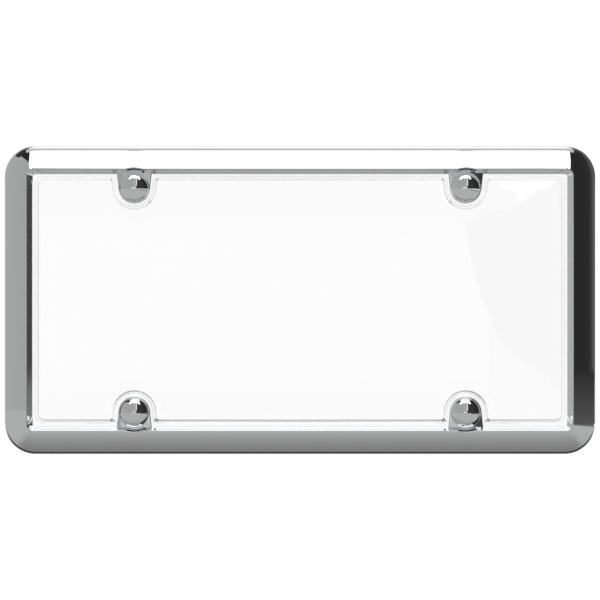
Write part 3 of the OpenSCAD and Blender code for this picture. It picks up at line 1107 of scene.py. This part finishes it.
    def build(self) -> None:
        """Build the shield and put it in the place of its solid."""
        s = self.sizes
        shell = Shell()
        turns = np.linspace(0, 2 * math.pi, self.bore_steps, endpoint=False)
        bore = s.bore_r * np.column_stack([np.cos(turns), np.sin(turns)])
        rims: list[list[int]] = []
        front, back = self._profile()
        for curve, level in ((front, s.lip_z), (back, 0.0)):
            rings = self._rings(curve)
            starts = [shell.add(ring) for ring in rings]
            for a, b in zip(starts, starts[1:]):
                shell.bridge(a, b, len(rings[0]))
            outer = self._flange()
            loops = [(shell.add(np.column_stack([outer, np.full(len(outer), level)])), outer)]
            loops.append((starts[0], rings[0][:, :2]))
            for x, y in s.fixings().values():
                ring = bore + (x, y)
                loops.append((shell.add(np.column_stack([ring, np.full(len(ring), level)])), ring))
            self._fill(shell, loops)
            rim = rings[-1][:, :2]
            a, b = s.window()
            xs, ys = np.meshgrid(np.arange(-a, a, self.grid), np.arange(-b, b, self.grid))
            spots = np.column_stack([xs.ravel(), ys.ravel()]) + self.grid_shift
            gap = np.min(np.linalg.norm(spots[:, None, :] - rim[None, ::2, :], axis=2), axis=1)
            spots = spots[self._inside(spots, rim) & (gap > self.grid * self.grid_gap)]
            top = self.thick + curve[-1][1]
            self._fill(shell, [(starts[-1], rim)], spots, lambda plan, top=top: top + self._dome(plan))
            rims.append([loops[0][0]] + [first for first, _ in loops[2:]])
        sizes = [len(outer)] + [len(bore)] * 4
        for first, second, size in zip(rims[0], rims[1], sizes):
            shell.bridge(first, second, size)
        dress(shell.object("bubble_shield", self.sharp_deg), Finishes.SHIELD, "shield")


@dataclass
class ScrewCaps:
    """The four domed snap caps."""

    sizes: Sizes
    bore_r: float = 7.3
    skirt: float = 0.7
    height: float = 6.4
    sphere_r: float = 10.6
    dome_r: float = 7.8
    rim_t: float = 0.5
    rim_w: float = 0.2
    bead: float = 0.25
    grip: float = 1.3
    shoulder_r: float = 0.35
    rim_r: float = 0.15
    foot_r: float = 0.1
    edge_share: float = 0.4
    dome_steps: int = 40
    hollow_steps: int = 24
    segments: int = 144
    sharp_deg: float = 25.0

    def _profile(self) -> Points:
        """The cap's (r, h) profile from the inside of the crown down, round the rim and up."""
        centre = self.height - self.sphere_r
        inner_r = self.sphere_r - self.skirt
        outer_a = math.acos(self.dome_r / self.sphere_r)
        inner_a = math.acos((self.dome_r - self.skirt) / inner_r)
        up = np.linspace(outer_a, math.pi / 2, self.dome_steps)
        down = np.linspace(math.pi / 2, inner_a, self.hollow_steps)
        skirt_r = self.bore_r + self.skirt
        edge_r = skirt_r + self.rim_w
        dome = np.column_stack([np.cos(up), np.sin(up)]) * self.sphere_r + (0, centre)
        hollow = np.column_stack([np.cos(down), np.sin(down)]) * inner_r + (0, centre)
        dome[-1, 0] = hollow[0, 0] = 0.0
        inner, low = (self.bore_r, 0.0), (edge_r, 0.0)
        high, root = (edge_r, self.rim_t), (skirt_r, self.rim_t)
        shoulder = fillet(root, dome[0], dome[2], self.shoulder_r, self.edge_share, 6)
        rim = fillet(low, high, root, self.rim_r, self.edge_share, 4)
        foot = fillet(inner, low, high, self.foot_r, self.edge_share, 3)
        return np.vstack(
            [
                hollow,
                [[self.bore_r, self.grip], [self.bore_r, 2 * self.bead]],
                [[self.bore_r - self.bead, self.bead], inner],
                foot,
                rim,
                [root],
                shoulder,
                dome[3:],
            ]
        )

    def build(self) -> None:
        """Build the caps and put them in the places of their solids."""
        profile = self._profile()
        for name, (x, y) in self.sizes.fixings().items():
            shell = spin(profile, self.segments)
            shell.points = [block + (x, y, self.sizes.tab_z) for block in shell.points]
            dress(shell.object(f"snap_cap_{name}", self.sharp_deg), Finishes.CAP, f"cap_{name}")


@dataclass
class ScrewKind:
    """One kind of screw: its head, smooth neck and thread.

    crest_share is the share of the pitch that the thread's ridge takes.
    """

    stem: str
    places: tuple[str, str]
    long: float
    pitch: float
    root_r: float
    tip_l: float
    tip_r: float
    crest_share: float
    head_r: float = 5.9
    head_h: float = 4.0
    head_side: float = 1.6
    head_edge: float = 0.25
    neck_r: float = 2.5
    neck_flare: float = 0.3
    neck_end: float = 0.1
    thread_lead: float = 0.15
    thread_rest: float = 0.2
    thread_r: float = 3.0
    drive_span: float = 5.9
    drive_w: float = 1.3
    drive_h: float = 1.0
    crown_steps: int = 16
    turn_rows: int = 12
    segments: int = 48

    def _mesh(self, sizes: Sizes) -> Shell:
        """The screw on its own axis.

        Args:
            sizes: The sizes that the pieces share.

        Returns:
            The shell.
        """
        rise = self.head_h - self.head_side
        ball = (self.head_r**2 + rise**2) / (2 * rise)
        arc = np.linspace(math.acos(self.head_r / ball), math.pi / 2, self.crown_steps)
        crown = np.column_stack([np.cos(arc) * ball, self.head_h - ball + np.sin(arc) * ball])[::-1]
        crown[0, 0] = 0.0
        edge = [[self.head_r, self.head_edge], [self.head_r - self.head_edge, 0.0]]
        head = np.vstack([crown, edge]) + (0, sizes.seat_z)
        flare = self.neck_flare
        neck = [[self.neck_r + flare, sizes.seat_z], [self.neck_r, sizes.seat_z - flare]]
        start, end = sizes.plate_z, sizes.seat_z - self.long
        neck += [[self.neck_r, start], [self.root_r, start - self.neck_end]]
        count = int((start - end - self.thread_rest) / self.pitch * self.turn_rows)
        turns = np.linspace(start - self.thread_lead, end, count)
        thread = np.column_stack([np.full(count, self.root_r), turns])
        profile = np.vstack([head, neck, thread, [[0.0, end]]])
        first = len(head) - 1 + len(neck)

        def radius(body: Points, angle: float) -> Points:
            """The radii at one angle, with the thread's ridge where it passes."""
            r = body[:, 0].copy()
            h = body[first:, 1]
            phase = ((start - h) / self.pitch + angle / (2 * math.pi)) % 1.0
            away = np.abs(phase - 0.5) * 2
            ridge = np.clip((1 - away - (1 - self.crest_share) * 0.5) / (self.crest_share * 0.5), 0, 1)
            ease = np.clip((start - h) / self.pitch, 0, 1)
            taper = np.clip((h - end) / self.tip_l, 0, 1)
            limit = self.tip_r + (self.thread_r - self.tip_r) * taper
            core = np.minimum(self.root_r, self.tip_r + (self.root_r - self.tip_r) * taper)
            r[first:] = core + np.maximum(limit - core, 0) * ridge * ease
            return r

        return spin(profile, self.segments, radius)

    def build(self, sizes: Sizes) -> None:
        """Build the two screws of this kind and put them in the places of their solids."""
        shell = self._mesh(sizes)
        base = shell.object(self.stem)
        cutter = Shell()
        for wide, tall in ((self.drive_span, self.drive_w), (self.drive_w, self.drive_span)):
            outline = np.array([[-wide, -tall], [wide, -tall], [wide, tall], [-wide, tall]]) / 2
            top = sizes.seat_z + self.head_h
            rows = [np.column_stack([outline, np.full(4, h)]) for h in (top - self.drive_h, top + 1)]
            starts = [cutter.add(row) for row in rows]
            cutter.bridge(starts[0], starts[1], 4)
            cutter.cap(starts[0], 4, flip=True)
            cutter.cap(starts[1], 4)
        tool = cutter.object(self.stem + "_drive")
        modifier = base.modifiers.new("drive", "BOOLEAN")
        modifier.operation = "DIFFERENCE"
        modifier.solver = "EXACT"
        modifier.use_self = True
        modifier.object = tool
        graph = bpy.context.evaluated_depsgraph_get()
        cut = bpy.data.meshes.new_from_object(base.evaluated_get(graph))
        for name in self.places:
            x, y = sizes.fixings()[name]
            mesh = cut.copy()
            mesh.transform(Matrix.Translation((x * MM, 0.0, y * MM)))
            mesh.set_sharp_from_angle(angle=math.radians(SHARP_DEG))
            title = f"{self.stem}_{name}"
            dress(add_object(title, mesh), Finishes.ZINC, title)
        for spent in (base, tool):
            bpy.data.objects.remove(spent)


@dataclass
class KeptSolids:
    """The pieces whose solids already have their shape: washers, inserts, nuts and rings."""

    nodes: dict[str, Any]
    finishes: dict[str, Finishes] = field(
        default_factory=lambda: {
            "washer": Finishes.NYLON,
            "nylon_insert": Finishes.NYLON,
            "lock_nut": Finishes.ZINC,
            "nut_ring": Finishes.BLUE,
        }
    )

    def build(self) -> None:
        """Give each kept solid its finish."""
        for name, solid in self.nodes.items():
            for stem, finish in self.finishes.items():
                if name.startswith(stem):
                    solid.data.materials.clear()
                    solid.data.materials.append(finish.value.material())
                    LOG.info("%s: kept solid in %s", name, finish.value.name)


# ---------------------------------------------------------------- the studio


class Run(Enum):
    """The way in which a card's level changes."""

    ACROSS = "across"
    UP = "up"


@dataclass(frozen=True)
class Card:
    """A curved studio card that the holder can mirror, but the camera can't see.

    Its sides are rows of (height, left, right) and its levels are pairs of (place, level). Places
    are in degrees round the holder, from its front, and levels are what the chrome shows.
    """

    name: str
    sides: tuple[tuple[float, float, float], ...]
    levels: Levels
    run: Run = Run.ACROSS
    radius: float = 3.0
    through: bool = True
    columns: int = 81
    rows: int = 25

    def _points(self) -> Points:
        """The card's grid of (turn, rise) in degrees, row by row."""
        heights, lefts, rights = (np.array(column, float) for column in zip(*self.sides))
        rises = np.unique(np.concatenate([heights, np.linspace(heights[0], heights[-1], self.rows)]))
        ends = np.interp(rises, heights, lefts), np.interp(rises, heights, rights)
        turns = np.linspace(*ends, self.columns, axis=1)
        return np.column_stack([turns.ravel(), np.repeat(rises, self.columns)])

    def build(self) -> None:
        """Build the card round the holder."""
        grid = self._points()
        turn, rise = np.radians(grid.T)
        flat = np.cos(rise)
        ball = np.column_stack([np.sin(turn) * flat, -np.cos(turn) * flat, np.sin(rise)])
        columns = self.columns
        faces = [
            (i, i + 1, i + 1 + columns, i + columns)
            for i in range(len(grid) - columns)
            if i % columns < columns - 1
        ]
        mesh = bpy.data.meshes.new(self.name)
        mesh.from_pydata((self.radius * ball).tolist(), [], faces)
        places, levels = zip(*self.levels)
        shown = np.interp(grid[:, 0 if self.run is Run.ACROSS else 1], places, levels)
        light = mesh.attributes.new("light", "FLOAT_COLOR", "POINT")
        for spot, level in zip(light.data, shown):
            spot.color = (*card_light(level), 1.0)
        card = add_object(self.name, mesh)
        sheet = lit_sheet(card)
        stored = sheet.out(sheet.add("ShaderNodeAttribute", {"attribute_name": "light"}), "Color")
        sheet.finish(sheet.glow(stored))
        hide_from_camera(card, self.through)


def lit_sheet(card: bpy.types.Object) -> Sheet:
    """Give a card a new material of its own and return the material's empty node sheet."""
    material = bpy.data.materials.new(card.name)
    material.use_nodes = True
    card.data.materials.append(material)
    return Sheet(material.node_tree)


def card_light(level: float) -> Colour:
    """The light of a card that the chrome shows at a display level."""
    return (from_display(level) / CHROME_SHARE,) * 3


def hide_from_camera(card: bpy.types.Object, through: bool = True) -> None:
    """Hide a studio card from the camera, and let only metal and glass show it.

    Args:
        card: The card.
        through: Whether what is seen through the clear sheet shows it too.
    """
    card.visible_camera = False
    card.visible_transmission = through
    card.visible_diffuse = False
    card.visible_shadow = False
    card.visible_volume_scatter = False


@dataclass
class Studio:
    """The floor, the cards, the lamps and the camera.

    shadow_levels_before and shadow_levels_behind are the levels of the bounce card by the distance in
    metres from the holder, before it and behind it. They paint the holder's shadow into the card's
    glow, darker close to the holder.
    """

    camera_m: float = 1.25
    view_mm: float = 322.6
    floor_m: float = -0.26
    floor_reach_m: float = 8.0
    floor_colour: tuple[float, float, float, float] = (0.94, 0.94, 0.94, 1.0)
    floor_share: float = 0.8
    floor_fade: float = 0.25
    bounce_m: float = -0.2
    bounce_corner: Corner = (-3.4, 1.1, -2.0, 0.9)
    shade_half_m: float = 0.2
    behind_m: float = -0.016
    behind_steep: float = 200.0
    strip_m: float = 2.4
    strip_corner: Corner = (-1.2, 1.2, -0.486, -0.27)
    strip_level: float = 188
    world_level: float = 0.6
    sensor_mm: float = 36.0
    lamp_side_m: float = 1.2
    lamps: tuple[tuple[str, float, Colour], ...] = (
        ("lamp_key", 14.0, (-0.6, -1.4, 1.7)),
        ("lamp_back", 8.0, (0.7, 1.3, 1.5)),
    )
    cards: tuple[Card, ...] = (
        Card(
            "card_dark_right",
            (
                *((-2.4, 9.1, 100), (-2, 8.7, 100), (-1.1, 8.2, 100), (0.1, 7.7, 100)),
                *((1.5, 7.3, 100), (3.2, 7, 100), (3.6, 7.4, 100), (3.9, 9.1, 100)),
                *((4.9, 10.5, 100), (20, 14.5, 100), (40, 17, 100), (57, 20, 100)),
            ),
            ((7, 54), (45, 52), (66, 38), (79, 42), (82, 56), (84.5, 84), (92, 98), (100, 76)),
            radius=2.9,
        ),
        Card(
            "card_dark_low",
            ((-12, 20, 100), (-9, 20, 100), (-4.8, 15, 100), (-3.2, 10.5, 100), (-2.4, 9.1, 100)),
            ((-12, 120), (-9, 110), (-6.7, 97), (-4.8, 80), (-3.5, 68), (-2.4, 44)),
            Run.UP,
            radius=2.9,
        ),
        Card(
            "card_dark_near",
            ((-12, 35, 100), (-6.9, 35, 100)),
            ((-12, 115), (-9, 98), (-6.9, 82)),
            Run.UP,
            radius=1.0,
        ),
        Card(
            "card_dark_behind",
            ((-2.4, 100, 150), (57, 100, 150)),
            ((100, 74), (110, 66), (150, 68)),
            radius=2.9,
        ),
        Card(
            "card_low_behind",
            ((-12, 100, 150), (-2.4, 100, 150)),
            ((-12, 118), (-3.3, 112), (-2.4, 70)),
            Run.UP,
            radius=2.9,
        ),
        Card(
            "card_grey_left",
            (
                *((-6, -158, 22), (-3, -158, 12), (4.6, -158, 9), (4.7, -158, 8)),
                *((20, -158, 9.5), (40, -158, 12), (57, -158, 15)),
            ),
            (
                *((-158, 170), (-124, 172), (-92, 168), (-80, 164)),
                *((-60, 160), (-20, 158), (0, 165), (15, 165)),
            ),
        ),
        Card(
            "card_window",
            ((-4.2, -13, 8), (3.8, -13, 8)),
            ((-4.2, 165), (-3, 212), (2.6, 212), (3.8, 165)),
            Run.UP,
            radius=2.95,
        ),
        Card(
            "card_dark_high_left",
            (
                *((43, -100, -79), (50, -115, -74), (54, -130, -60), (56, -140, -46)),
                *((62, -150, -46), (67, -150, -50), (69, -150, -52)),
            ),
            ((-150, 110), (-90, 62), (-70, 40), (-50, 30)),
            radius=2.8,
        ),
        Card(
            "card_dark_high_right",
            ((56, 43, 150), (62, 45, 150), (66, 49, 150), (68, 50, 150)),
            ((45, 34), (66, 38), (80, 60), (100, 100), (150, 130)),
            radius=2.8,
        ),
        Card(
            "card_white_above",
            (
                *((56, -51, 49), (58.6, -51, 49.6), (63.4, -53, 52), (67.4, -60, 57.4)),
                *((69.5, -65, 61), (73, -70, 66), (76, -80, 80), (79, -180, 180), (89.9, -180, 180)),
            ),
            ((0, 300),),
            radius=2.7,
        ),
        Card("card_white_left", ((47, -50, -30), (56, -51, -30)), ((0, 300),), radius=2.7),
        Card("card_white_right", ((47, 30, 48), (56, 30, 49)), ((0, 300),), radius=2.7),
        Card(
            "card_grey_behind",
            ((4, 152, 204), (32, 152, 204)),
            ((152, 30), (174, 30), (178, 90), (204, 100)),
            through=False,
        ),
        Card("card_white_behind", ((33, 152, 204), (76, 152, 204)), ((0, 258),)),
    )
    # painted shadow of the holder on the bounce card: levels darker close to it, before it and behind
    # it
    shadow_levels_before: Levels = ((0.0, 104), (0.03, 128), (0.05, 140), (0.08, 164), (0.16, 172), (1.0, 172))
    shadow_levels_behind: Levels = ((0.12, 58), (0.2, 84), (0.3, 125), (0.4, 168), (1.0, 174))

    def _plane(self, name: str, height: float, corner: Corner) -> bpy.types.Object:
        """A level plane.

        Args:
            name: Its name.
            height: Its height in metres.
            corner: Its lowest and highest x, and its lowest and highest y.

        Returns:
            The plane, linked to the scene.
        """
        x0, x1, y0, y1 = corner
        mesh = bpy.data.meshes.new(name)
        corners = [(x, y, height) for x, y in ((x0, y0), (x1, y0), (x1, y1), (x0, y1))]
        mesh.from_pydata(corners, [], [(0, 1, 2, 3)])
        made = add_object(name, mesh)
        return made

    def _shown(self, sheet: Sheet) -> Signal:
        """1 for the rays by which the camera, metal and glass see the backdrop."""
        path = sheet.add("ShaderNodeLightPath")
        seen = sheet.out(path, "Is Camera Ray") + sheet.out(path, "Is Glossy Ray")
        return (seen + sheet.out(path, "Is Transmission Ray")).at_most(1.0)

    def _floor(self) -> None:
        """Lay the pale floor, which keeps a soft shadow."""
        reach = self.floor_reach_m
        sheet = lit_sheet(self._plane("floor", self.floor_m, (-reach, reach, -reach, reach)))
        matt = sheet.out(sheet.add("ShaderNodeBsdfDiffuse", Color=self.floor_colour, Roughness=1.0))
        white = sheet.out(sheet.glow((1.0, 1.0, 1.0)))
        place = sheet.out(sheet.add("ShaderNodeTexCoord"), "Object")
        share = (self.floor_share + sheet.vector("LENGTH", place) * self.floor_fade).at_most(1.0)
        sheet.finish(sheet.add("ShaderNodeMixShader", n0=share * self._shown(sheet), n1=matt, n2=white))

    def _bounce(self) -> None:
        """Lay the grey bounce card that the lower faces show, with the holder's shadow painted into its
        glow: darker close under the holder.
        """
        card = self._plane("card_bounce_painted_shadow", self.bounce_m, self.bounce_corner)
        sheet = lit_sheet(card)
        place = sheet.out(sheet.add("ShaderNodeTexCoord"), "Object")
        # the distance from the holder's own strip of the card, in which the height takes no part
        past = sheet.vector("SUBTRACT", sheet.vector("ABSOLUTE", place), (self.shade_half_m, 0.0, FAR))
        away = sheet.vector("LENGTH", sheet.vector("MAXIMUM", past, (0.0, 0.0, 0.0)))
        shadow_ramps = []
        # painted shadow: the card's glow darkens towards the holder's strip, where the holder's shadow
        # would fall
        for stops in (self.shadow_levels_before, self.shadow_levels_behind):
            lit = [(spot, card_light(level)) for spot, level in stops]
            shadow_ramps.append(sheet.out(sheet.add("ShaderNodeValToRGB", {"stops": lit}, Fac=away)))
        y = sheet.out(sheet.add("ShaderNodeSeparateXYZ", Vector=place), "Y")
        behind = ((y - self.behind_m) * self.behind_steep).at_least(0.0).at_most(1.0)
        sheet.finish(sheet.glow(sheet.blend(behind, *shadow_ramps)))
        hide_from_camera(card)

    def _strip(self) -> None:
        """Hang the grey strip overhead that draws a fine line along the top edge."""
        strip = self._plane("card_strip", self.strip_m, self.strip_corner)
        sheet = lit_sheet(strip)
        sheet.finish(sheet.glow(card_light(self.strip_level)))
        hide_from_camera(strip, through=False)

    def _world(self) -> None:
        """Set a plain white surround."""
        world = bpy.data.worlds.new("white_surround")
        bpy.context.scene.world = world
        world.use_nodes = True
        sheet = Sheet(world.node_tree)
        level = self.world_level + (1 - self.world_level) * self._shown(sheet)
        sheet.finish(
            sheet.add("ShaderNodeBackground", Color=(1.0, 1.0, 1.0, 1.0), Strength=level),
            "ShaderNodeOutputWorld",
        )

    def _lamp(self, name: str, watts: float, spot: tuple[float, float, float]) -> None:
        """Hang a soft square lamp that faces the holder.

        Args:
            name: Its name.
            watts: Its power.
            spot: Its place in metres.
        """
        data = bpy.data.lights.new(name, "AREA")
        data.energy = watts
        data.size = self.lamp_side_m
        lamp = add_object(name, data)
        lamp.location = spot
        lamp.rotation_mode = "QUATERNION"
        lamp.rotation_quaternion = Vector(spot).to_track_quat("Z", "Y")
        lamp.visible_glossy = False
        lamp.visible_transmission = False

    def _camera(self) -> None:
        """Place the camera straight before the holder."""
        data = bpy.data.cameras.new("camera")
        data.sensor_width = self.sensor_mm
        data.lens = self.sensor_mm * self.camera_m / (self.view_mm * MM)
        data.clip_start, data.clip_end = 0.01, 100.0
        camera = add_object("camera", data)
        camera.location = (0.0, -self.camera_m, 0.0)
        camera.rotation_euler = (math.pi / 2, 0.0, 0.0)
        bpy.context.scene.camera = camera

    def build(self) -> None:
        """Set up the whole studio."""
        bpy.context.scene.view_settings.view_transform = "Standard"
        self._camera()
        self._world()
        self._floor()
        self._bounce()
        self._strip()
        for card in self.cards:
            card.build()
        for lamp in self.lamps:
            self._lamp(*lamp)
        LOG.info("studio: floor, %d cards, %d lamps", len(self.cards) + 2, len(self.lamps))


def main() -> None:
    """Build the holder's pieces and the studio in order."""
    logging.basicConfig(level=logging.INFO, format="%(message)s")
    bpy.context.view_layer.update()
    sizes = Sizes()
    screws = (
        ScrewKind(
            "tapping_screw",
            ("top_left", "top_right"),
            long=23.0,
            pitch=2.15,
            root_r=2.1,
            tip_l=4.0,
            tip_r=0.5,
            crest_share=0.55,
        ),
        ScrewKind(
            "machine_screw",
            ("bottom_left", "bottom_right"),
            long=22.6,
            pitch=1.1,
            root_r=2.42,
            tip_l=0.7,
            tip_r=2.3,
            crest_share=0.9,
        ),
    )
    FrameCasting(sizes).build()
    BubbleShield(sizes).build()
    ScrewCaps(sizes).build()
    for kind in screws:
        kind.build(sizes)
    KeptSolids(frame["nodes"]).build()
    Studio().build()


if __name__ == "__main__":
    main()
